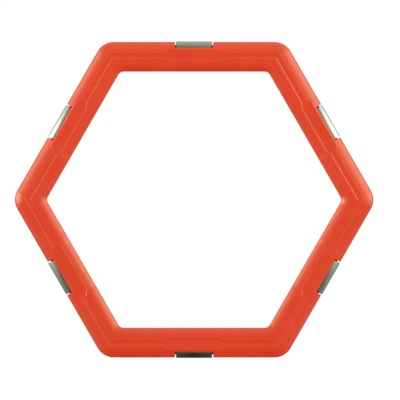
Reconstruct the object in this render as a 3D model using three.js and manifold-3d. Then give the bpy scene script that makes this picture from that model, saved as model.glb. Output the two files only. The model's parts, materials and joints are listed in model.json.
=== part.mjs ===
// Magnetic construction tile: a hexagonal plastic frame with a spinning magnet capsule in each side.
// Units are millimetres. The tile lies flat on z = 0 with its centre on the z axis, and a side faces +Y.
// The frame is one moulding used twice: the lower half is the upper half turned over about the Y axis.
// Each capsule is a steel sleeve round a magnet, closed by two plugs whose journals turn in the frame.
import * as THREE from "three";
import { mergeVertices } from "three/addons/utils/BufferGeometryUtils.js";
import Module from "manifold-3d";

const wasm = await Module();
wasm.setup();

// --- Driving dimensions ---
const SIDES = 6;
const SIDE_LENGTH = 65; // side of the hexagon before its corners are rounded
const THICKNESS = 8;
const RAIL_WIDTH = 10.6; // plan width of each of the six rails
const OUTER_CORNER_RADIUS = 6.7;
const INNER_CORNER_RADIUS = 2.3;

// The rail's edges are rolled over in quarter ellipses. They leave a flat band round the rim and the opening.
const OUTER_ROLL = { width: 3.6, height: 2.6 };
const INNER_ROLL = { width: 3.2, height: 1.7 };
const ROLL_SEGMENTS = 5;
const ARC_SEGMENTS = 2; // three.js draws an arc with twice this number of chords

// A shallow channel runs round both faces and widens into a pad over each capsule. Depths are from the rim.
const CHANNEL_FLOOR = { outer: 4.4, inner: 5.6 };
const PAD_FLOOR = { outer: 3, inner: 6.6 };
const CHANNEL_DEPTH = 0.2;
const CHANNEL_DRAFT = 0.3; // how far each sloping wall spreads between the floor and the face
const PAD_HALF_LENGTH = 8.85;
const PAD_END = 10.5; // the pad's oblique ends have narrowed to the channel here

// Capsule, lying along its side.
const SLEEVE = { radius: 2.25, bore: 1.95, halfLength: 6.45, edge: 0.2 };
const PLUG = { radius: 1.9, thickness: 0.9, setIn: 0.15, edge: 0.1 };
const JOURNAL = { radius: 1, length: 2.15, edge: 0.2 };
const MAGNET = { radius: 1.9, edge: 0.25 };
const MAGNET_END_GAP = 0.05;
const CAPSULE_PROUD = 0.15; // how far the sleeve stands out past the rim
const ROUND_SEGMENTS = 16;

// Room for the capsule in the frame.
const WINDOW = { halfLength: 6.8, depth: 2 };
const POCKET_RADIUS = 2.5;
const SEAT = { radius: 1.1, end: 8.8 };

// Inside of the moulding.
const WALL = 1.3;
const CEILING_SKIN = 1.6; // plastic between a face and the hollow under it
const HOUSING = { halfLength: 10, depth: 6.6 }; // solid block round each capsule
const RIB = { positions: [-22, -16, 16, 22], thickness: 1, gap: 0.3 };
const POST = { radius: 2, pin: 0.8, pinHeight: 1.2, socket: 1.1, socketDepth: 1.6 };
const BEAD = { from: 12, to: 25, width: 0.4, height: 0.3, clearance: 0.2 };

const HALF_THICKNESS = THICKNESS / 2;
const APOTHEM = (SIDE_LENGTH * Math.sqrt(3)) / 2;
const INNER_APOTHEM = APOTHEM - RAIL_WIDTH;
const CAPSULE_Y = APOTHEM + CAPSULE_PROUD - SLEEVE.radius;
const RAIL_MIDDLE = APOTHEM - RAIL_WIDTH / 2;
const CORNER_PER_APOTHEM = 2 / Math.sqrt(3); // centre-to-corner distance of a hexagon, per unit of apothem
const BEYOND = 1; // how far a cutter runs past the surface it cuts
const sides = [...Array(SIDES).keys()];

// --- Materials ---
const orangePlastic = new THREE.MeshStandardMaterial({ color: 0xde482b, roughness: 0.3, metalness: 0 });
const polishedSteel = new THREE.MeshStandardMaterial({ color: 0xb9bab4, roughness: 0.18, metalness: 1 });
const turnedSteel = new THREE.MeshStandardMaterial({ color: 0xa9aaa6, roughness: 0.35, metalness: 1 });
const nickelPlate = new THREE.MeshStandardMaterial({ color: 0xc9c6bb, roughness: 0.25, metalness: 1 });

// --- Solids ---

// A closed three.js geometry as a manifold-3d solid.
function solidFrom(geometry) {
  const bare = geometry.index ? geometry.toNonIndexed() : geometry.clone();
  bare.deleteAttribute("normal");
  bare.deleteAttribute("uv");
  const merged = mergeVertices(bare, 1e-4);
  const vertProperties = merged.attributes.position.array;
  const triVerts = new Uint32Array(merged.index.array);
  return new wasm.Manifold(new wasm.Mesh({ numProp: 3, vertProperties, triVerts }));
}

// A manifold-3d solid as a three.js geometry.
function geometryFrom(solid) {
  const mesh = solid.getMesh();
  const geometry = new THREE.BufferGeometry();
  geometry.setAttribute("position", new THREE.BufferAttribute(mesh.vertProperties, 3));
  geometry.setIndex(new THREE.BufferAttribute(mesh.triVerts, 1));
  geometry.computeVertexNormals();
  return geometry;
}

function joined(solids) {
  return solids.reduce((whole, piece) => whole.add(piece));
}

// The same solid on each side of the hexagon, from a geometry drawn on the side that faces +Y.
function onEverySide(geometry) {
  return joined(sides.map((k) => solidFrom(geometry.clone().rotateZ((k * Math.PI) / 3))));
}

// A box on the +Y side, from x0 to x1, from depth0 to depth1 in from the rim, and from z0 to z1.
function sideBox([x0, x1], [depth0, depth1], [z0, z1]) {
  const box = new THREE.BoxGeometry(x1 - x0, depth1 - depth0, z1 - z0);
  return box.translate((x0 + x1) / 2, APOTHEM - (depth0 + depth1) / 2, (z0 + z1) / 2);
}

// A cylinder along the capsule's axis on the +Y side.
function capsuleCylinder(radius, halfLength, segments) {
  const cylinder = new THREE.CylinderGeometry(radius, radius, 2 * halfLength, segments);
  return cylinder.rotateZ(Math.PI / 2).translate(0, CAPSULE_Y, 0);
}

// --- Outlines in plan ---

// Adds a hexagon with rounded corners and a side facing +Y to a THREE.Shape or THREE.Path.
function roundedHexagon(path, apothem, cornerRadius) {
  const centreDistance = (apothem - cornerRadius) * CORNER_PER_APOTHEM;
  for (const k of sides) {
    const angle = (k * Math.PI) / 3;
    const x = centreDistance * Math.cos(angle);
    const y = centreDistance * Math.sin(angle);
    path.absarc(x, y, cornerRadius, angle - Math.PI / 6, angle + Math.PI / 6, false);
  }
  path.closePath();
  return path;
}

function hexagonRing(outerApothem, outerRadius, innerApothem, innerRadius) {
  const ring = roundedHexagon(new THREE.Shape(), outerApothem, outerRadius);
  ring.holes.push(roundedHexagon(new THREE.Path(), innerApothem, innerRadius));
  return ring;
}

// One edge of the channel's floor, at channelDepth from the rim and at padDepth beside the capsules.
function channelEdge(path, channelDepth, padDepth) {
  const corner = (APOTHEM - channelDepth) / Math.sqrt(3);
  const sidePoints = [
    [corner, channelDepth],
    [PAD_END, channelDepth],
    [PAD_HALF_LENGTH, padDepth],
    [-PAD_HALF_LENGTH, padDepth],
    [-PAD_END, channelDepth],
  ];
  const points = sides.flatMap((k) =>
    sidePoints.map(([x, depth]) =>
      new THREE.Vector2(x, APOTHEM - depth).rotateAround(new THREE.Vector2(), (k * Math.PI) / 3),
    ),
  );
  return path.setFromPoints(points);
}

// --- The frame moulding: the upper half, from its parting plane at z = 0 up to its face ---

// A plate of full thickness, centred on z = 0, whose edges are all rolled over. The outline is that of its
// flat face: the roll's width is added all round it, into any hole as well.
function rolledPlate(faceOutline, roll) {
  const depth = THICKNESS - 2 * roll.height;
  const plate = new THREE.ExtrudeGeometry(faceOutline, {
    depth,
    bevelThickness: roll.height,
    bevelSize: roll.width,
    bevelSegments: ROLL_SEGMENTS,
    curveSegments: ARC_SEGMENTS,
  });
  return solidFrom(plate.translate(0, 0, -depth / 2));
}

// The solid rail of the upper half. One plate shapes the rim. The other runs past it and shapes the opening.
function rolledBlank() {
  const rim = roundedHexagon(
    new THREE.Shape(),
    APOTHEM - OUTER_ROLL.width,
    OUTER_CORNER_RADIUS - OUTER_ROLL.width,
  );
  const opening = hexagonRing(
    APOTHEM + BEYOND,
    OUTER_CORNER_RADIUS,
    INNER_APOTHEM + INNER_ROLL.width,
    INNER_CORNER_RADIUS + INNER_ROLL.width,
  );
  const below = new THREE.BoxGeometry(4 * SIDE_LENGTH, 4 * SIDE_LENGTH, THICKNESS);
  return rolledPlate(rim, OUTER_ROLL)
    .intersect(rolledPlate(opening, INNER_ROLL))
    .subtract(solidFrom(below.translate(0, 0, -HALF_THICKNESS)));
}

function channelCutter() {
  const floor = channelEdge(new THREE.Shape(), CHANNEL_FLOOR.outer, PAD_FLOOR.outer);
  floor.holes.push(channelEdge(new THREE.Path(), CHANNEL_FLOOR.inner, PAD_FLOOR.inner));
  const cutter = new THREE.ExtrudeGeometry(floor, {
    depth: BEYOND,
    bevelThickness: CHANNEL_DEPTH,
    bevelSize: CHANNEL_DRAFT,
    bevelSegments: 1,
  });
  return solidFrom(cutter.translate(0, 0, HALF_THICKNESS));
}

function hollow() {
  const ring = hexagonRing(
    APOTHEM - WALL,
    OUTER_CORNER_RADIUS - WALL,
    INNER_APOTHEM + WALL,
    INNER_CORNER_RADIUS + WALL,
  );
  const depth = HALF_THICKNESS - CEILING_SKIN + BEYOND;
  const space = new THREE.ExtrudeGeometry(ring, { depth, bevelEnabled: false, curveSegments: ARC_SEGMENTS });
  const housings = sideBox(
    [-HOUSING.halfLength, HOUSING.halfLength],
    [-BEYOND, HOUSING.depth],
    [-BEYOND, HALF_THICKNESS],
  );
  const acrossRail = [-BEYOND, RAIL_WIDTH + BEYOND];
  const ribs = RIB.positions.map((x) =>
    sideBox([x - RIB.thickness / 2, x + RIB.thickness / 2], acrossRail, [RIB.gap, HALF_THICKNESS]),
  );
  const solids = [housings, ...ribs].map(onEverySide);
  return solidFrom(space.translate(0, 0, -BEYOND)).subtract(joined([...solids, cornerPosts()]));
}

// A cylinder standing at the middle of the rail in corner k.
function cornerCylinder(k, radius, z0, z1) {
  const angle = (k * Math.PI) / 3;
  const distance = RAIL_MIDDLE * CORNER_PER_APOTHEM;
  const cylinder = new THREE.CylinderGeometry(radius, radius, z1 - z0, ROUND_SEGMENTS / 2);
  cylinder.rotateX(Math.PI / 2);
  return solidFrom(cylinder.translate(distance * Math.cos(angle), distance * Math.sin(angle), (z0 + z1) / 2));
}

function cornerPosts() {
  return joined(sides.map((k) => cornerCylinder(k, POST.radius, -BEYOND, HALF_THICKNESS)));
}

// Turning the moulding over about Y swaps each even corner with an odd one, so each pin meets a socket.
function pins() {
  const overlap = BEYOND / 2;
  return joined(
    sides.filter((k) => k % 2 === 0).map((k) => cornerCylinder(k, POST.pin, -POST.pinHeight, overlap)),
  );
}

function sockets() {
  return joined(
    sides.filter((k) => k % 2 === 1).map((k) => cornerCylinder(k, POST.socket, -BEYOND, POST.socketDepth)),
  );
}

// The weld bead stands on the right half of each side and meets a groove in the left half of the other half.
function weldBead() {
  const depths = [(WALL - BEAD.width) / 2, (WALL + BEAD.width) / 2];
  return onEverySide(sideBox([BEAD.from, BEAD.to], depths, [-BEAD.height, BEAD.height]));
}

function weldGroove() {
  const half = BEAD.width / 2 + BEAD.clearance;
  const depths = [WALL / 2 - half, WALL / 2 + half];
  const length = [-BEAD.to - BEAD.clearance, -BEAD.from + BEAD.clearance];
  return onEverySide(sideBox(length, depths, [-BEYOND, BEAD.height + BEAD.clearance]));
}

function capsuleRoom() {
  const window = sideBox(
    [-WINDOW.halfLength, WINDOW.halfLength],
    [-BEYOND, WINDOW.depth],
    [-BEYOND, HALF_THICKNESS + BEYOND],
  );
  const pocket = capsuleCylinder(POCKET_RADIUS, WINDOW.halfLength, 2 * ROUND_SEGMENTS);
  const seats = capsuleCylinder(SEAT.radius, SEAT.end, ROUND_SEGMENTS);
  return joined([window, pocket, seats].map(onEverySide));
}

function frameMoulding() {
  const cuts = joined([channelCutter(), hollow(), capsuleRoom(), weldGroove(), sockets()]);
  return geometryFrom(joined([rolledBlank().subtract(cuts), pins(), weldBead()]));
}

// --- The capsule: profiles are [radius, height] pairs, turned about the capsule's axis ---

function turned(profile, segments = ROUND_SEGMENTS) {
  const points = profile.map(([radius, height]) => new THREE.Vector2(radius, height));
  return new THREE.LatheGeometry(points, segments);
}

function sleeveGeometry() {
  const { radius, bore, halfLength, edge } = SLEEVE;
  return turned([
    [bore, -halfLength],
    [radius - edge, -halfLength],
    [radius, -halfLength + edge],
    [radius, halfLength - edge],
    [radius - edge, halfLength],
    [bore, halfLength],
    [bore, -halfLength],
  ]);
}

// The plug's inner face is at height 0 and its journal points along +height.
function plugGeometry() {
  const { radius, thickness, edge } = PLUG;
  const tip = thickness + JOURNAL.length;
  return turned([
    [0, 0],
    [radius - edge, 0],
    [radius, edge],
    [radius, thickness],
    [JOURNAL.radius, thickness],
    [JOURNAL.radius, tip - JOURNAL.edge],
    [JOURNAL.radius - JOURNAL.edge, tip],
    [0, tip],
  ]);
}

function magnetGeometry() {
  const { radius, edge } = MAGNET;
  const halfLength = SLEEVE.halfLength - PLUG.setIn - PLUG.thickness - MAGNET_END_GAP;
  return turned([
    [0, -halfLength],
    [radius - edge, -halfLength],
    [radius, -halfLength + edge],
    [radius, halfLength - edge],
    [radius - edge, halfLength],
    [0, halfLength],
  ]);
}

// --- Assembly ---

function namedMesh(name, geometry, material) {
  const mesh = new THREE.Mesh(geometry, material);
  mesh.name = name;
  return mesh;
}

function frame() {
  const moulding = frameMoulding();
  const upper = namedMesh("upper_frame", moulding, orangePlastic);
  const lower = namedMesh("lower_frame", moulding, orangePlastic);
  lower.rotation.y = Math.PI;
  const group = new THREE.Group().add(upper, lower);
  group.position.z = HALF_THICKNESS;
  return group;
}

// The capsule of side number n, counted anticlockwise from the +Y side.
function capsule(n, shapes) {
  const sleeve = namedMesh(`sleeve_${n}`, shapes.sleeve, polishedSteel);
  const magnet = namedMesh(`magnet_${n}`, shapes.magnet, nickelPlate);
  const leftPlug = namedMesh(`plug_${n}_left`, shapes.plug, turnedSteel);
  const rightPlug = namedMesh(`plug_${n}_right`, shapes.plug, turnedSteel);
  const plugFace = SLEEVE.halfLength - PLUG.setIn - PLUG.thickness;
  rightPlug.position.y = plugFace;
  leftPlug.position.y = -plugFace;
  leftPlug.rotation.x = Math.PI;

  const turnedParts = new THREE.Group().add(sleeve, magnet, leftPlug, rightPlug);
  turnedParts.rotation.z = -Math.PI / 2; // the turned axis lies along +X
  turnedParts.position.set(0, CAPSULE_Y, HALF_THICKNESS);
  const onSide = new THREE.Group().add(turnedParts);
  onSide.rotation.z = ((n - 1) * Math.PI) / 3;
  return onSide;
}

const capsuleShapes = { sleeve: sleeveGeometry(), plug: plugGeometry(), magnet: magnetGeometry() };
const tile = new THREE.Group();
tile.add(frame(), ...sides.map((k) => capsule(k + 1, capsuleShapes)));

export default tile;
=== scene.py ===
"""Looks of a hexagonal magnetic construction tile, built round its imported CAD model.

The tile is a glossy plastic ring in two welded halves, with a polished steel capsule in each side.
Side 1 faces +Y and the sides count anticlockwise. Lengths named here are in millimetres unless said
otherwise, and become metres when a mesh is made.
"""

import json
import math

import bmesh
import bpy
from mathutils import Matrix, Vector


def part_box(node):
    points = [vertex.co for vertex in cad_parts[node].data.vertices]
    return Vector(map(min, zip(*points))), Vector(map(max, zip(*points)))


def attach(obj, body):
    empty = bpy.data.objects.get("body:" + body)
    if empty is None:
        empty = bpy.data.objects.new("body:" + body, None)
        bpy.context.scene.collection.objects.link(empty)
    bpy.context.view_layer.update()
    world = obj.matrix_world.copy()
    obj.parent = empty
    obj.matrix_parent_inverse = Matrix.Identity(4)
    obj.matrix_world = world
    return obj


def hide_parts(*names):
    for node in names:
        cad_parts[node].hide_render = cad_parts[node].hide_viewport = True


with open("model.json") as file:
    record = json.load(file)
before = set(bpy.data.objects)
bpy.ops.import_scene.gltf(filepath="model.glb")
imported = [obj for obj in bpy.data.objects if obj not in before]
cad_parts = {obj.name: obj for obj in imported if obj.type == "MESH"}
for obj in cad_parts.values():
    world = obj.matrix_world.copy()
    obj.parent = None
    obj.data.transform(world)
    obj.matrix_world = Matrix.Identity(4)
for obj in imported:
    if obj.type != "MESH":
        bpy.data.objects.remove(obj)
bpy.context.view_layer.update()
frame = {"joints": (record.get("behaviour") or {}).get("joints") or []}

MM = 0.001
SIDES = 6
SIXTH_TURN = 2 * math.pi / SIDES
HALF_CORNER = SIXTH_TURN / 2  # turn of direction between a side and its corner's mitre line

# --- Driving sizes ---
upper_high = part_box("upper_frame")[1]
sleeve_low, sleeve_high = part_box("sleeve_1")
plug_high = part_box("plug_1_right")[1]
APOTHEM = upper_high.y / MM
HALF_THICKNESS = upper_high.z / MM / 2
CAPSULE_DEPTH = APOTHEM - (sleeve_low.y + sleeve_high.y) / 2 / MM
SLEEVE_RADIUS = (sleeve_high.z - sleeve_low.z) / 2 / MM
SLEEVE_HALF_LENGTH = sleeve_high.x / MM

RAIL_WIDTH = 10.6
OUTER_CORNER_RADIUS = 6.7
INNER_CORNER_RADIUS = 2.3
PARTING_CHAMFER = 0.1

# The rail's edges roll over in quarter ellipses, from a flat band round the rim and round the opening.
OUTER_BAND = 1.4  # half the height of the band round the rim
OUTER_ROLL_WIDTH = 3.6
INNER_BAND = 2.3
INNER_ROLL_WIDTH = 3.2

# A shallow channel runs round the face, with a low lip on its rim side. It widens into a pad at each
# capsule. Pairs are depths from the rim (at the pads, along the channel).
CHANNEL_DEPTH = 0.15
FLOOR = HALF_THICKNESS - CHANNEL_DEPTH
SHOULDER = FLOOR  # height that the outer roll reaches
LIP_FOOT = (2.2, 3.5)
LIP_CREST = (2.75, 3.93)
OUTER_WALL_FOOT = (3.0, 4.4)
INNER_WALL_FOOT = (6.6, 5.62)
INNER_WALL_TOP = (6.85, 5.86)
LIP_RISE = 0.08  # height of the lip's crest over the shoulder, which dies out towards a pad
KERB_DROP = 0.1  # the inner roll starts this much lower beside a pad
PAD_HALF_LENGTH = 8.85
PAD_END = 10.5  # where the pad's oblique ends have narrowed to the channel

# Each capsule shows in a window in the rim. It turns in a round pocket, on journals in half-round seats,
# and a solid housing stands round them in the hollow of the moulding.
WINDOW_HALF_LENGTH = 6.8
WINDOW_DEPTH = 2.0
WINDOW_WALL_FOOT = 2.58
WINDOW_WALL_TOP = 3.15
WINDOW_EDGE = 0.75  # width of the rounded edge behind the capsule
POCKET_RADIUS = 2.5
SEAT_RADIUS = 1.1
SEAT_END = 8.8
HOUSING_END = 10.0
HOUSING_DEPTH = 6.6
WALL = 1.3  # of the moulding, round its hollow
HOLLOW_HEIGHT = 2.4


def lerp(a, b, share):
    return a + (b - a) * share


# --- Cross-sections of the upper half: rows of (depth from the rim, height above the parting plane) ---

ARC_ROWS = 9
WINDOW_WALL_ROWS = 8
WINDOW_WALL_START = 0.04  # rise from the pocket's rim to the first row of the window's wall
WINDOW_EDGE_TURNS = [0.15, 0.3, 0.45, 0.6, 0.75]  # shares of a quarter turn
RAIL_LAST_ROW = 0.2  # depth of the last row on the parting plane, before the rim's chamfer
HOUSING_LAST_ROW = 0.5
BAND_SHARES = [0.3, 0.7]  # heights of the rows on a band, as shares of its height
# Places on the outer roll, as shares of the way from the rim to the lip.
ROLL_SHARES = [0, 0.015, 0.06, 0.13, 0.24, 0.39, 0.58, 0.8, 0.93]
INNER_ROLL_INSETS = [3.25, 2.9, 2.25, 1.65, 1.15, 0.75, 0.45, 0.2, 0.05, 0]
CREST_START = 0.75  # share of the way from the lip's foot to its crest where the top begins
CREST_END = 0.3  # share of the way from the crest to the channel where the top ends
WINDOW_LIP_DROP = 0.05  # share of the window edge's rise that is left before the lip
WINDOW_LIP_INSET = 0.9  # share of the window edge's width at that row
FLOOR_SHARES = [0, 0.1, 0.5, 0.93, 1]
LAND_ROW = 0.2  # distance from the channel's inner wall to the first row on the land


def rolled(inset, width, foot, top):
    """Height of a quarter-elliptic roll at a distance in from the edge that it rises from."""
    run = max(0, 1 - inset / width)
    return foot + (top - foot) * math.sqrt(1 - run * run)


def outer_roll(inset):
    return rolled(inset, OUTER_ROLL_WIDTH, OUTER_BAND, SHOULDER)


def inner_roll(inset):
    return rolled(inset, INNER_ROLL_WIDTH, INNER_BAND, HALF_THICKNESS)


def arc(radius, end_angle):
    """Rows round the capsule's axis, from its inner side up and over towards the rim."""
    angles = [end_angle * k / (ARC_ROWS - 1) for k in range(ARC_ROWS)]
    return [(CAPSULE_DEPTH + radius * math.cos(a), radius * math.sin(a)) for a in angles]


def parting_rows(cut):
    """The underside, from the foot of the hollow's outer wall out to the rim."""
    if cut == "rail":
        return [(lerp(WALL, RAIL_LAST_ROW, k / (ARC_ROWS + 1)), 0) for k in range(ARC_ROWS + 2)]
    if cut == "window":
        overhang = (CAPSULE_DEPTH - WINDOW_DEPTH) / POCKET_RADIUS
        pocket = arc(POCKET_RADIUS, math.pi / 2 + math.asin(overhang))
        return [(HOUSING_DEPTH, 0)] + pocket + [(WINDOW_DEPTH, pocket[-1][1] + WINDOW_WALL_START)]
    if cut == "seat":
        return [(HOUSING_DEPTH, 0)] + arc(SEAT_RADIUS, math.pi) + [(HOUSING_LAST_ROW, 0)]
    inner = CAPSULE_DEPTH + SEAT_RADIUS
    outer = CAPSULE_DEPTH - SEAT_RADIUS
    flat = [(lerp(inner, outer, k / (ARC_ROWS - 1)), 0) for k in range(ARC_ROWS)]
    return [(HOUSING_DEPTH, 0)] + flat + [(HOUSING_LAST_ROW, 0)]


def rim_rows(cut, pad):
    """The rim and the outer roll, or in a window the wall behind the capsule and its rounded edge."""
    if cut != "window":
        foot = lerp(LIP_FOOT[1], LIP_FOOT[0], pad)
        chamfer = [(PARTING_CHAMFER, 0), (0, PARTING_CHAMFER)]
        band = [(0, share * OUTER_BAND) for share in BAND_SHARES]
        return chamfer + band + [(foot * share, outer_roll(foot * share)) for share in ROLL_SHARES]
    rises = [k / (WINDOW_WALL_ROWS - 1) for k in range(WINDOW_WALL_ROWS)]
    wall = [(WINDOW_DEPTH, lerp(WINDOW_WALL_FOOT, WINDOW_WALL_TOP, rise)) for rise in rises]
    back = WINDOW_DEPTH + WINDOW_EDGE
    reach = SHOULDER - WINDOW_WALL_TOP
    turns = [math.pi / 2 * share for share in WINDOW_EDGE_TURNS]
    edge = [(back - WINDOW_EDGE * math.cos(a), WINDOW_WALL_TOP + reach * math.sin(a)) for a in turns]
    return wall + edge


def relief_rows(cut, pad):
    """The lip, the channel or pad and the wall up to the inner land."""
    lines = (LIP_FOOT, LIP_CREST, OUTER_WALL_FOOT, INNER_WALL_FOOT, INNER_WALL_TOP)
    depths = [lerp(in_channel, at_pad, pad) for at_pad, in_channel in lines]
    lip_foot, lip_crest, outer_foot, inner_foot, inner_top = depths
    crest = lerp(SHOULDER + LIP_RISE, SHOULDER, pad)
    lip_start = outer_roll(lip_foot)
    if cut == "window":
        lip_start = lerp(crest, WINDOW_WALL_TOP, WINDOW_LIP_DROP)
        lip_foot = WINDOW_DEPTH + WINDOW_LIP_INSET * WINDOW_EDGE
    lip = [
        (lip_foot, lip_start),
        (lerp(lip_foot, lip_crest, CREST_START), crest),
        (lip_crest, crest),
        (lerp(lip_crest, outer_foot, CREST_END), crest),
    ]
    floor = [(lerp(outer_foot, inner_foot, share), FLOOR) for share in FLOOR_SHARES]
    land = [(inner_top, HALF_THICKNESS), (inner_top + LAND_ROW, HALF_THICKNESS)]
    return lip + floor + land


def inner_rows(pad):
    """The inner roll, down to the parting plane."""
    sunk = KERB_DROP * pad
    roll = [(RAIL_WIDTH - inset, inner_roll(inset) - sunk) for inset in INNER_ROLL_INSETS]
    band = [(RAIL_WIDTH, share * INNER_BAND) for share in reversed(BAND_SHARES)]
    return roll + band + [(RAIL_WIDTH, PARTING_CHAMFER), (RAIL_WIDTH - PARTING_CHAMFER, 0)]


def hollow_rows(cut):
    """The hollow behind the skin, or beside a capsule the part of it that the housing leaves."""
    outer = WALL if cut == "rail" else HOUSING_DEPTH
    inner = RAIL_WIDTH - WALL
    return [
        (inner, 0),
        (inner, HOLLOW_HEIGHT / 2),
        (inner, HOLLOW_HEIGHT),
        ((outer + inner) / 2, HOLLOW_HEIGHT),
        (outer, HOLLOW_HEIGHT),
        (outer, HOLLOW_HEIGHT / 2),
    ]


def section(cut, along):
    """The whole closed section at a distance along the side from its middle."""
    pad = min(1, max(0, (PAD_END - along) / (PAD_END - PAD_HALF_LENGTH)))
    outside = rim_rows(cut, pad) + relief_rows(cut, pad) + inner_rows(pad)
    return parting_rows(cut) + outside + hollow_rows(cut)


def mixed(section_a, section_b, share):
    return [(lerp(a[0], b[0], share), lerp(a[1], b[1], share)) for a, b in zip(section_a, section_b)]


# --- The path of the sections round the ring ---

STEP = 0.02  # sections on both sides of a step stand this far from it
# The cuts along half a side, each with the distances of its sections from the side's middle.
STRAIGHTS = [
    ("window", [0, 2.5, 4.6, 5.9, 6.5, WINDOW_HALF_LENGTH - STEP]),
    ("seat", [WINDOW_HALF_LENGTH + STEP, 7.08, 7.8, 8.6, SEAT_END - STEP]),
    ("housing", [SEAT_END + STEP, 9.05, 9.5, HOUSING_END - STEP]),
    ("rail", [HOUSING_END + STEP, 10.25, PAD_END, 10.75, 13, 16, 20, 24]),
]
WINDOW_END_SHARES = [0.85, 0.15]  # sections inside the window's end wall, which keep its edges tight
CORNER_SHARES = [0, 0.14, 0.28, 0.42, 0.56, 0.7, 0.82, 0.93, 1]


def corner_point(depth, share):
    """A point on side 1's right-hand corner, from the corner's start at share 0 to its mitre line at 1."""
    outer_centre = (APOTHEM - OUTER_CORNER_RADIUS) / math.cos(HALF_CORNER)
    inner_centre = (APOTHEM - RAIL_WIDTH - INNER_CORNER_RADIUS) / math.cos(HALF_CORNER)
    land = RAIL_WIDTH - INNER_ROLL_WIDTH
    if OUTER_ROLL_WIDTH < depth < land:
        across = (depth - OUTER_ROLL_WIDTH) / (land - OUTER_ROLL_WIDTH)
        start = lerp(outer_centre, inner_centre, across) * math.sin(HALF_CORNER)
        mitre = (APOTHEM - depth) * math.tan(HALF_CORNER)
        return lerp(start, mitre, share), APOTHEM - depth
    if depth <= OUTER_ROLL_WIDTH:
        centre, radius = outer_centre, OUTER_CORNER_RADIUS - depth
    else:
        centre, radius = inner_centre, INNER_CORNER_RADIUS + RAIL_WIDTH - depth
    turn = HALF_CORNER * share
    x = centre * math.sin(HALF_CORNER) + radius * math.sin(turn)
    y = centre * math.cos(HALF_CORNER) + radius * math.cos(turn)
    return x, y


def straight_loop(rows, along):
    return [(along, APOTHEM - depth, height) for depth, height in rows]


def window_end_loops():
    """Loops in the step from the window to the seat beside it."""
    inside = section("window", WINDOW_HALF_LENGTH)
    outside = section("seat", WINDOW_HALF_LENGTH)
    loops = []
    for share in WINDOW_END_SHARES:
        along = WINDOW_HALF_LENGTH + lerp(STEP, -STEP, share)
        loops.append(straight_loop(mixed(outside, inside, share), along))
    return loops


def half_side_loops():
    """Loops of (x, y, height) from the middle of side 1 to its right-hand mitre line."""
    loops = []
    for cut, stations in STRAIGHTS:
        loops += [straight_loop(section(cut, along), along) for along in stations]
        if cut == "window":
            loops += window_end_loops()
    rail = section("rail", PAD_END)
    for share in CORNER_SHARES:
        loops.append([(*corner_point(depth, share), height) for depth, height in rail])
    return loops


def turned_loop(loop, angle):
    """The loop turned anticlockwise about the tile's axis."""
    cos = math.cos(angle)
    sin = math.sin(angle)
    return [(x * cos - y * sin, x * sin + y * cos, z) for x, y, z in loop]


def ring_loops():
    """Every loop of the ring, anticlockwise, each mitre line once."""
    right = half_side_loops()
    left = [[(-x, y, z) for x, y, z in loop] for loop in right]
    side = list(reversed(right[:-1])) + left[1:]
    return [turned_loop(loop, k * SIXTH_TURN) for k in range(SIDES) for loop in side]


# --- Meshes ---

LATHE_SEGMENTS = 96
WELD_DISTANCE = 1e-7  # metres


def new_object(name, vertices, faces, material):
    """An object with its coincident vertices welded and its faces turned outwards."""
    mesh = bpy.data.meshes.new(name)
    mesh.from_pydata(vertices, [], faces)
    tidy = bmesh.new()
    tidy.from_mesh(mesh)
    bmesh.ops.remove_doubles(tidy, verts=tidy.verts, dist=WELD_DISTANCE)
    bmesh.ops.recalc_face_normals(tidy, faces=tidy.faces)
    tidy.to_mesh(mesh)
    tidy.free()
    mesh.shade_smooth()
    mesh.materials.append(material)
    piece = bpy.data.objects.new(name, mesh)
    bpy.context.scene.collection.objects.link(piece)
    return piece


def ring_mesh(name, material):
    """The upper moulding, with its parting plane at z = 0."""
    loops = ring_loops()
    rows = len(loops[0])
    vertices = [Vector(point) * MM for loop in loops for point in loop]
    faces = []
    for i in range(len(loops)):
        j = (i + 1) % len(loops)
        for k in range(rows):
            m = (k + 1) % rows
            faces.append((i * rows + k, i * rows + m, j * rows + m, j * rows + k))
    ring = new_object(name, vertices, faces, material)
    smooth = ring.modifiers.new("rounding", "SUBSURF")
    smooth.levels = 1
    smooth.render_levels = 1
    return ring


def lathe_mesh(name, profile, material):
    """A closed solid of revolution about X from a profile of (radius, position along X)."""
    vertices = []
    for k in range(LATHE_SEGMENTS):
        angle = 2 * math.pi * k / LATHE_SEGMENTS
        for radius, along in profile:
            vertices.append(Vector((along, radius * math.cos(angle), radius * math.sin(angle))) * MM)
    count = len(profile)
    faces = []
    for k in range(LATHE_SEGMENTS):
        n = (k + 1) % LATHE_SEGMENTS
        for i in range(count):
            j = (i + 1) % count
            faces.append((k * count + i, k * count + j, n * count + j, n * count + i))
    return new_object(name, vertices, faces, material)


# --- Materials ---


def node_material(name):
    """A new material, with its nodes, its links and its Principled shader."""
    material = bpy.data.materials.new(name)
    material.use_nodes = True
    nodes, links = material.node_tree.nodes, material.node_tree.links
    return material, nodes, links, nodes["Principled BSDF"]


def feed(links, socket, value):
    """Sets an input to a value, or links it to another node's output."""
    if isinstance(value, bpy.types.NodeSocket):
        links.new(value, socket)
    else:
        socket.default_value = value


def noise(nodes, links, coordinates, scale, detail, stretch=(1, 1, 1)):
    """Noise in object space. The scale is in cells per metre before the stretch."""
    mapping = nodes.new("ShaderNodeMapping")
    mapping.inputs["Scale"].default_value = stretch
    texture = nodes.new("ShaderNodeTexNoise")
    texture.inputs["Scale"].default_value = scale
    texture.inputs["Detail"].default_value = detail
    links.new(coordinates, mapping.inputs["Vector"])
    links.new(mapping.outputs["Vector"], texture.inputs["Vector"])
    return texture.outputs["Fac"]


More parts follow.
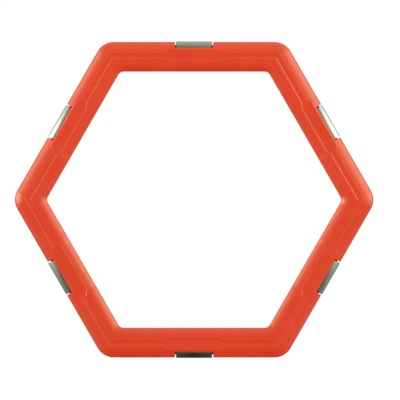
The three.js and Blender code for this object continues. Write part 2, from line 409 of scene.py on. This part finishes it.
def map_range(nodes, links, value, source, target):
    node = nodes.new("ShaderNodeMapRange")
    node.inputs["From Min"].default_value, node.inputs["From Max"].default_value = source
    node.inputs["To Min"].default_value, node.inputs["To Max"].default_value = target
    links.new(value, node.inputs["Value"])
    return node.outputs["Result"]


def bump(nodes, links, height, distance, strength, below=None):
    """A bumped normal. The distance, in millimetres, is the relief's full depth at strength 1."""
    node = nodes.new("ShaderNodeBump")
    node.inputs["Distance"].default_value = distance * MM
    node.inputs["Strength"].default_value = strength
    links.new(height, node.inputs["Height"])
    if below is not None:
        links.new(below, node.inputs["Normal"])
    return node.outputs["Normal"]


def colour_mix(nodes, links, share, colour_a, colour_b):
    node = nodes.new("ShaderNodeMix")
    node.data_type = "RGBA"
    feed(links, node.inputs["A"], colour_a)
    feed(links, node.inputs["B"], colour_b)
    links.new(share, node.inputs["Factor"])
    return node.outputs["Result"]


def object_coordinates(nodes):
    return nodes.new("ShaderNodeTexCoord").outputs["Object"]


ORANGE = (0.735, 0.0405, 0.0097, 1)
ORANGE_FLOW = (0.7, 0.0375, 0.0088, 1)
PLASTIC_IOR = 1.52
GLOSS_TINT = (0.6, 1, 0.62, 1)  # turns the lit rolls orange, where a white gloss would turn them pink
FULL_GLOSS = 0.5
GRAZING_GLOSS = 0.03  # less than real plastic has, so that slanting faces don't mirror the bright studio
SLANT_RANGE = (0.25, 0.6)  # the gloss falls off between these, where 0 is face on and 1 is edge on
FLOW_SCALE = 60  # cells per metre, as for the other scales
HANDLING_SCALE = 140
RIPPLE_SCALE = 700
RIPPLE_RELIEF = 0.007
SCRATCH_SCALE = 900
SCRATCH_RELIEF = 0.004


def glossy_plastic():
    """Injection-moulded ABS: a polished skin with faint flow lines, fine ripple and hair scratches."""
    material, nodes, links, shader = node_material("glossy_orange_abs")
    place = object_coordinates(nodes)
    streams = noise(nodes, links, place, FLOW_SCALE, 3, (1, 1, 2))
    flow = map_range(nodes, links, streams, (0.35, 0.65), (0, 1))
    links.new(colour_mix(nodes, links, flow, ORANGE_FLOW, ORANGE), shader.inputs["Base Color"])
    handling = noise(nodes, links, place, HANDLING_SCALE, 4)
    roughness = map_range(nodes, links, handling, (0.4, 0.75), (0.12, 0.2))
    links.new(roughness, shader.inputs["Roughness"])
    shader.inputs["IOR"].default_value = PLASTIC_IOR
    shader.inputs["Specular Tint"].default_value = GLOSS_TINT
    slant = nodes.new("ShaderNodeLayerWeight").outputs["Facing"]
    polarised = map_range(nodes, links, slant, SLANT_RANGE, (FULL_GLOSS, GRAZING_GLOSS))
    links.new(polarised, shader.inputs["Specular IOR Level"])
    waves = noise(nodes, links, place, RIPPLE_SCALE, 2)
    ripple = bump(nodes, links, waves, RIPPLE_RELIEF, 0.35)
    scratches = noise(nodes, links, place, SCRATCH_SCALE, 1, (1, 14, 1))
    hairline = map_range(nodes, links, scratches, (0.72, 0.76), (0, 1))
    links.new(bump(nodes, links, hairline, SCRATCH_RELIEF, 0.4, ripple), shader.inputs["Normal"])
    return material


# Painted shade: ambient occlusion darkens the steel's colour in the gap round a capsule, standing in for
# the shade there.
PAINTED_GAP_SHADE = (0.085, 0.035, 0.018, 1)  # colour of the painted shade in the gap round a capsule
GAP_SHADE_REACH = 0.6
GAP_SHADE_RANGE = (0.5, 0.85)  # openness at which the metal is fully under the painted shade, and clear of it


def with_painted_gap_shade(nodes, links, colour):
    """The colour, with painted shade from ambient occlusion where the frame's wall stands close."""
    gap_shade_occlusion = nodes.new("ShaderNodeAmbientOcclusion")
    gap_shade_occlusion.inputs["Distance"].default_value = GAP_SHADE_REACH * MM
    openness = map_range(nodes, links, gap_shade_occlusion.outputs["AO"], GAP_SHADE_RANGE, (0, 1))
    return colour_mix(nodes, links, openness, PAINTED_GAP_SHADE, colour)


# The steels are darker than real ones, to suit the brightness of the studio that they mirror.
STEEL = (0.22, 0.232, 0.189, 1)
SMEARED_STEEL = (0.208, 0.219, 0.178, 1)
SMEAR_SCALE = 260
DRAWN_GRAIN_SCALE = 1800
DRAWN_GRAIN_RELIEF = 0.003
TURNED_STEEL = (0.22, 0.23, 0.19, 1)
TOOL_MARK_SCALE = 9000
TOOL_MARK_RELIEF = 0.004
NICKEL = (0.6, 0.56, 0.48, 1)
SINTER_GRAIN_SCALE = 3500
SINTER_GRAIN_RELIEF = 0.004


def polished_steel():
    """Drawn stainless tube, polished along its length, with faint smears."""
    material, nodes, links, shader = node_material("polished_stainless")
    place = object_coordinates(nodes)
    shader.inputs["Metallic"].default_value = 1
    smear = noise(nodes, links, place, SMEAR_SCALE, 3)
    streaks = map_range(nodes, links, smear, (0.3, 0.7), (0, 1))
    tint = colour_mix(nodes, links, streaks, SMEARED_STEEL, STEEL)
    # Painted shade: the tube's colour is darkened next to the frame's wall.
    links.new(with_painted_gap_shade(nodes, links, tint), shader.inputs["Base Color"])
    links.new(map_range(nodes, links, smear, (0.35, 0.7), (0.1, 0.14)), shader.inputs["Roughness"])
    grain = noise(nodes, links, place, DRAWN_GRAIN_SCALE, 2, (0.05, 1, 1))
    links.new(bump(nodes, links, grain, DRAWN_GRAIN_RELIEF, 0.5), shader.inputs["Normal"])
    return material


def turned_steel():
    """Lathe-turned plug: rings of tool marks round the axis."""
    material, nodes, links, shader = node_material("turned_stainless")
    place = object_coordinates(nodes)
    shader.inputs["Metallic"].default_value = 1
    shader.inputs["Base Color"].default_value = TURNED_STEEL
    marks = noise(nodes, links, place, TOOL_MARK_SCALE, 1, (1, 0.02, 0.02))
    links.new(map_range(nodes, links, marks, (0.3, 0.7), (0.28, 0.42)), shader.inputs["Roughness"])
    links.new(bump(nodes, links, marks, TOOL_MARK_RELIEF, 0.6), shader.inputs["Normal"])
    return material


def nickel_plate():
    """Barrel-plated nickel over sintered grain."""
    material, nodes, links, shader = node_material("nickel_plate")
    place = object_coordinates(nodes)
    shader.inputs["Metallic"].default_value = 1
    shader.inputs["Base Color"].default_value = NICKEL
    grain = noise(nodes, links, place, SINTER_GRAIN_SCALE, 3)
    links.new(map_range(nodes, links, grain, (0.3, 0.7), (0.2, 0.34)), shader.inputs["Roughness"])
    links.new(bump(nodes, links, grain, SINTER_GRAIN_RELIEF, 0.4), shader.inputs["Normal"])
    return material


# --- The frame ---


def build_frame(material):
    for node, half_turn in (("upper_frame", 0), ("lower_frame", math.pi)):
        skin = ring_mesh(node + "_skin", material)
        turn = Matrix.Rotation(half_turn, 4, "Y")
        skin.data.transform(Matrix.Translation((0, 0, HALF_THICKNESS * MM)) @ turn)
        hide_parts(node)
        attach(skin, "frame")


# --- The capsules ---

SLEEVE_WALL = 0.3
SLEEVE_LIP = 0.18
BORE_BEVEL = (0.03, 0.06)  # across the wall, along the bore
PLUG_RADIUS = 1.9
PLUG_EDGE = 0.1
PLUG_SET_IN = 0.15
PLUG_THICKNESS = 0.9
JOURNAL_RADIUS = 1.0
JOURNAL_FOOT = 0.12  # width of the chamfer where the journal leaves the plug
MAGNET_RADIUS = 1.9
MAGNET_EDGE = 0.22
MAGNET_END_GAP = 0.05
EDGE_STEPS = 4


def rounded_edge(radius, along, edge):
    """Points round a convex edge that ends at this radius and position, from the side to the end face."""
    angles = [math.pi / 2 * k / EDGE_STEPS for k in range(EDGE_STEPS + 1)]
    centre = (radius - edge, along - edge)
    return [(centre[0] + edge * math.cos(a), centre[1] + edge * math.sin(a)) for a in angles]


def other_end(profile):
    """The profile of the left end from the right end's, in the order that leads on to it."""
    return [(radius, -along) for radius, along in reversed(profile)]


def sleeve_profile():
    """Outside with rolled lips at both ends, then back through the bore."""
    bore = SLEEVE_RADIUS - SLEEVE_WALL
    across, inward = BORE_BEVEL
    bevel = [(bore + across, SLEEVE_HALF_LENGTH), (bore, SLEEVE_HALF_LENGTH - inward)]
    right = rounded_edge(SLEEVE_RADIUS, SLEEVE_HALF_LENGTH, SLEEVE_LIP)
    return other_end(right) + right + bevel + other_end(bevel)


def plug_profile():
    """A disc with a stub journal, from its inner face outwards along X."""
    face = SLEEVE_HALF_LENGTH - PLUG_SET_IN
    foot = face - PLUG_THICKNESS
    tip = plug_high.x / MM
    return (
        [(0, foot), (PLUG_RADIUS - PLUG_EDGE, foot), (PLUG_RADIUS, foot + PLUG_EDGE)]
        + rounded_edge(PLUG_RADIUS, face, PLUG_EDGE)
        + [(JOURNAL_RADIUS + JOURNAL_FOOT, face), (JOURNAL_RADIUS, face + JOURNAL_FOOT)]
        + rounded_edge(JOURNAL_RADIUS, tip, PLUG_EDGE)
        + [(0, tip)]
    )


def magnet_profile():
    half = SLEEVE_HALF_LENGTH - PLUG_SET_IN - PLUG_THICKNESS - MAGNET_END_GAP
    right = rounded_edge(MAGNET_RADIUS, half, MAGNET_EDGE) + [(0, half)]
    return other_end(right) + right


def build_capsules(steel, turned, nickel):
    joints = {joint["child"]: joint for joint in frame["joints"]}
    for n in range(1, SIDES + 1):
        body = f"capsule_{n}"
        joint = joints[body]
        turn = Vector((1, 0, 0)).rotation_difference(Vector(joint["axis"]))
        place = Matrix.Translation(Vector(joint["pos_m"])) @ turn.to_matrix().to_4x4()
        left = [(radius, -along) for radius, along in plug_profile()]
        pieces = [
            (f"sleeve_{n}", sleeve_profile(), steel, "sleeve_steel"),
            (f"plug_{n}_right", plug_profile(), turned, "plug_steel"),
            (f"plug_{n}_left", left, turned, "plug_steel"),
            (f"magnet_{n}", magnet_profile(), nickel, "magnet_nickel"),
        ]
        for node, profile, material, slot in pieces:
            piece = lathe_mesh(node + "_turned", profile, material)
            piece.matrix_world = place
            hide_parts(node)
            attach(piece, body)


# --- Studio ---

FIELD_WIDTH = 142.7
CAMERA_PLACE = (2.1, -0.1, 400)


def add_camera():
    camera = bpy.data.objects.new("camera", bpy.data.cameras.new("camera"))
    camera.data.type = "ORTHO"
    camera.data.ortho_scale = FIELD_WIDTH * MM
    camera.location = Vector(CAMERA_PLACE) * MM
    bpy.context.scene.collection.objects.link(camera)
    bpy.context.scene.camera = camera


def math_node(nodes, links, operation, first, second):
    node = nodes.new("ShaderNodeMath")
    node.operation = operation
    feed(links, node.inputs[0], first)
    feed(links, node.inputs[1], second)
    return node.outputs["Value"]


# The studio seen in reflections: brightness against the sine of the elevation looked at.
CEILING = [(-1, 0.15), (0, 0.08), (0.64, 0.08), (0.79, 0.07), (0.9, 0.2), (0.985, 0.5), (1, 0.62)]
WALLS = [(-1, 0.4), (0, 1.8), (0.44, 1.6), (0.64, 1.3), (0.79, 1.15), (0.9, 0.9), (0.985, 0.4), (1, 0)]
SOFTBOX_FOOT = [(-1, 0.05), (-0.5, 0.2), (0.1, 1)]
TALL_SOFTBOX = SOFTBOX_FOOT + [(0.64, 1), (0.79, 0.7), (0.9, 0.36), (0.985, 0.14), (1, 0)]
LOW_SOFTBOX = SOFTBOX_FOOT + [(0.44, 1), (0.64, 0.7), (0.79, 0.33), (0.9, 0.16), (1, 0)]
WALL_FALLOFF = 0.45  # power by which the walls darken from +Y round to -Y
# Softboxes as (azimuth from +X in degrees, brightness, narrowness, shape).
SOFTBOXES = [(15, 6.3, 9, TALL_SOFTBOX), (171, 10.2, 14, LOW_SOFTBOX)]


def brightness_ramp(nodes, links, sine, stops):
    """Brightness that runs straight from each stop to the next."""
    ramp = nodes.new("ShaderNodeValToRGB")
    elements = ramp.color_ramp.elements
    while len(elements) < len(stops):
        elements.new(0.5)
    for element, (place, brightness) in zip(elements, stops):
        element.position = (place + 1) / 2
        element.color = (brightness, brightness, brightness, 1)
    links.new(map_range(nodes, links, sine, (-1, 1), (0, 1)), ramp.inputs["Fac"])
    return ramp.outputs["Color"]


def vector_node(nodes, links, operation, first, second=None):
    node = nodes.new("ShaderNodeVectorMath")
    node.operation = operation
    links.new(first, node.inputs[0])
    if second is not None:
        node.inputs[1].default_value = second
    return node


def studio_reflection(nodes, links):
    """The brightness that a mirror ray meets: lights on the right and left, and walls darkest at -Y."""
    incoming = nodes.new("ShaderNodeNewGeometry").outputs["Incoming"]
    ahead = vector_node(nodes, links, "SCALE", incoming)
    ahead.inputs["Scale"].default_value = -1
    level = vector_node(nodes, links, "MULTIPLY", ahead.outputs["Vector"], (1, 1, 0))
    heading = vector_node(nodes, links, "NORMALIZE", level.outputs["Vector"]).outputs["Vector"]
    sine = vector_node(nodes, links, "DOT_PRODUCT", ahead.outputs["Vector"], (0, 0, 1)).outputs["Value"]
    northing = vector_node(nodes, links, "DOT_PRODUCT", heading, (0, 1, 0)).outputs["Value"]

    turned_north = map_range(nodes, links, northing, (-1, 1), (0, 1))
    facing_far_wall = math_node(nodes, links, "POWER", turned_north, WALL_FALLOFF)
    wall_shape = brightness_ramp(nodes, links, sine, WALLS)
    walls = math_node(nodes, links, "MULTIPLY", facing_far_wall, wall_shape)
    total = math_node(nodes, links, "ADD", walls, brightness_ramp(nodes, links, sine, CEILING))
    for azimuth, brightness, narrowness, shape in SOFTBOXES:
        angle = math.radians(azimuth)
        middle = (math.cos(angle), math.sin(angle), 0)
        towards = vector_node(nodes, links, "DOT_PRODUCT", heading, middle).outputs["Value"]
        facing = math_node(nodes, links, "MAXIMUM", towards, 0)
        lobe = math_node(nodes, links, "POWER", facing, narrowness)
        shaped = math_node(nodes, links, "MULTIPLY", lobe, brightness_ramp(nodes, links, sine, shape))
        lit = math_node(nodes, links, "MULTIPLY", shaped, brightness)
        total = math_node(nodes, links, "ADD", total, lit)
    return total


def ray_switch(nodes, links, ray, otherwise, chosen):
    """A shader that is `chosen` for one kind of ray and `otherwise` for the rest."""
    path = nodes.new("ShaderNodeLightPath")
    switch = nodes.new("ShaderNodeMixShader")
    links.new(path.outputs[ray], switch.inputs["Fac"])
    links.new(otherwise, switch.inputs[1])
    links.new(chosen, switch.inputs[2])
    return switch.outputs["Shader"]


WHITE = (1, 1, 1, 1)
CARD_WHITE = (0.95, 0.95, 0.95, 1)
GLOW_STRENGTH = 1.03
FLOOR_GLOW = 0.95  # share of the card's whiteness that no shadow takes away, as on a lit table
FLOOR_HALF_WIDTH = 2000
FLOOR_GAP = 0.02  # keeps the floor clear of the tile's underside


def card_material():
    """Pale lit card. Reflections see the studio in it."""
    material, nodes, links, shader = node_material("pale_card")
    shader.inputs["Base Color"].default_value = CARD_WHITE
    shader.inputs["Roughness"].default_value = 1
    shader.inputs["Specular IOR Level"].default_value = 0
    glow = nodes.new("ShaderNodeEmission")
    glow.inputs["Strength"].default_value = GLOW_STRENGTH
    lit = nodes.new("ShaderNodeMixShader")
    lit.inputs["Fac"].default_value = FLOOR_GLOW
    links.new(shader.outputs["BSDF"], lit.inputs[1])
    links.new(glow.outputs["Emission"], lit.inputs[2])
    mirrored = nodes.new("ShaderNodeEmission")
    links.new(studio_reflection(nodes, links), mirrored.inputs["Strength"])
    seen = ray_switch(nodes, links, "Is Camera Ray", shader.outputs["BSDF"], lit.outputs["Shader"])
    seen = ray_switch(nodes, links, "Is Glossy Ray", seen, mirrored.outputs["Emission"])
    links.new(seen, nodes["Material Output"].inputs["Surface"])
    return material


def add_floor():
    half = FLOOR_HALF_WIDTH * MM
    corners = [(-half, -half, 0), (half, -half, 0), (half, half, 0), (-half, half, 0)]
    floor = new_object("floor", corners, [(0, 1, 2, 3)], card_material())
    floor.location.z = -FLOOR_GAP * MM


LAMP_SIZE = (600, 400)
LAMP_DISTANCE = 600
# Lamps as (name, azimuth from +X in degrees, elevation in degrees, power in watts).
LAMPS = [
    ("key_softbox", 15, 45, 0.2),
    ("second_softbox", 172, 45, 0.2),
    ("far_softbox", 90, 50, 0.7),
]
ROOM_LIGHT = 0.85


def add_lamp(name, azimuth, elevation, power):
    """A rectangular light that faces the tile. Its reflection is left to the studio's own."""
    light = bpy.data.lights.new(name, "AREA")
    light.shape = "RECTANGLE"
    light.size = LAMP_SIZE[0] * MM
    light.size_y = LAMP_SIZE[1] * MM
    light.energy = power
    lamp = bpy.data.objects.new(name, light)
    a = math.radians(azimuth)
    e = math.radians(elevation)
    towards = Vector((math.cos(a) * math.cos(e), math.sin(a) * math.cos(e), math.sin(e)))
    lamp.location = towards * LAMP_DISTANCE * MM
    lamp.rotation_euler = towards.to_track_quat("Z", "Y").to_euler()
    lamp.visible_glossy = False
    lamp.visible_camera = False
    bpy.context.scene.collection.objects.link(lamp)


def add_lights():
    for lamp in LAMPS:
        add_lamp(*lamp)
    world = bpy.data.worlds.new("studio")
    world.use_nodes = True
    nodes, links = world.node_tree.nodes, world.node_tree.links
    room = nodes["Background"]
    room.inputs["Color"].default_value = WHITE
    room.inputs["Strength"].default_value = ROOM_LIGHT
    backdrop = nodes.new("ShaderNodeBackground")
    backdrop.inputs["Color"].default_value = WHITE
    mirrored = nodes.new("ShaderNodeBackground")
    links.new(studio_reflection(nodes, links), mirrored.inputs["Strength"])
    lit, shown, reflected = [node.outputs["Background"] for node in (room, backdrop, mirrored)]
    seen = ray_switch(nodes, links, "Is Camera Ray", lit, shown)
    seen = ray_switch(nodes, links, "Is Glossy Ray", seen, reflected)
    links.new(seen, nodes["World Output"].inputs["Surface"])
    bpy.context.scene.world = world
    bpy.context.scene.view_settings.view_transform = "Standard"


build_frame(glossy_plastic())
build_capsules(polished_steel(), turned_steel(), nickel_plate())
add_floor()
add_lights()
add_camera()
